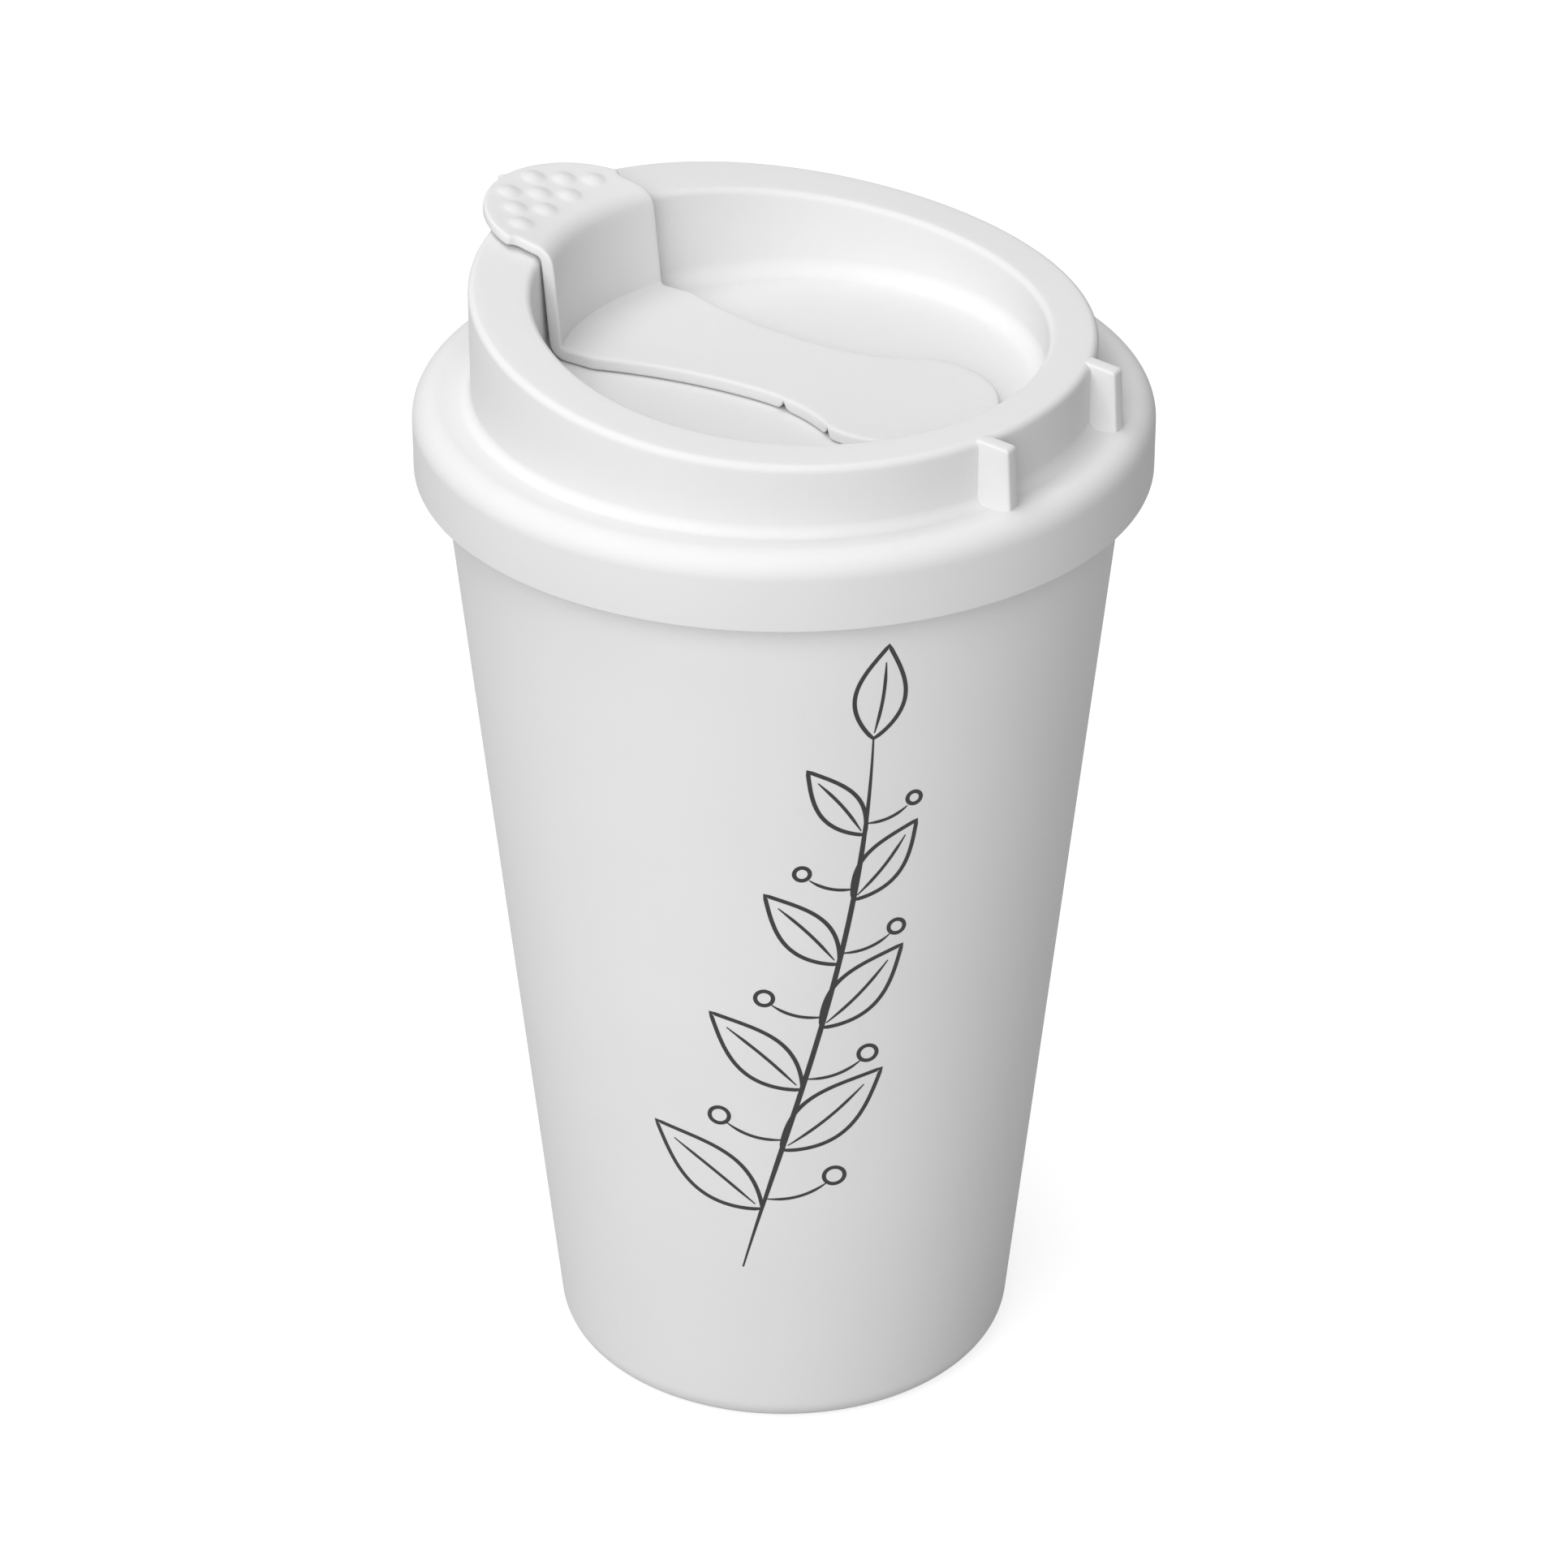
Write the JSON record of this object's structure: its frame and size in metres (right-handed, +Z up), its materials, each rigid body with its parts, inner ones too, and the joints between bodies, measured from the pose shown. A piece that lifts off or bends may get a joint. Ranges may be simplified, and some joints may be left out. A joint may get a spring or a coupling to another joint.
{
  "type": "reusable coffee cup with lid",
  "caption": "Tall tapered drinking cup with a push-fit lid, a raised slanted rim and a strap closure that folds back to open the drinking slot.",
  "frame": {"origin": "centre of the base, on the surface that the cup stands on", "axes": "+Z up along the cup's axis, -Y towards the drinking side, +Y towards the low side of the rim with its two ribs"},
  "size_m": [0.093, 0.093, 0.1567],
  "materials": {
    "cup_plastic": "fine matte moulded plastic, white",
    "lid_plastic": "fine matte moulded plastic, white",
    "closure_plastic": "fine matte moulded plastic, white"
  },
  "bodies": {
    "cup": {"cup": "cup_plastic"},
    "lid": {"lid": "lid_plastic", "closure_base": "closure_plastic"},
    "strap": {"closure_strap": "closure_plastic"},
    "flap": {"closure_flap": "closure_plastic"}
  },
  "joints": [
    {"name": "lid_lift", "type": "slide", "parent": "cup", "child": "lid", "axis": [0, 0, 1], "range_m": [0, 0.04]},
    {"name": "strap_fold", "type": "hinge", "parent": "lid", "child": "strap", "pos_m": [0, 0.0135, 0.1411], "axis": [-1, 0, 0], "range_deg": [0, 42]},
    {"name": "flap_fold", "type": "hinge", "parent": "strap", "child": "flap", "pos_m": [0, 0.005, 0.1411], "axis": [-1, 0, 0], "range_deg": [0, 126]}
  ],
  "couplings": [
    {"joint": "flap_fold", "follows": "strap_fold", "ratio": 3}
  ]
}
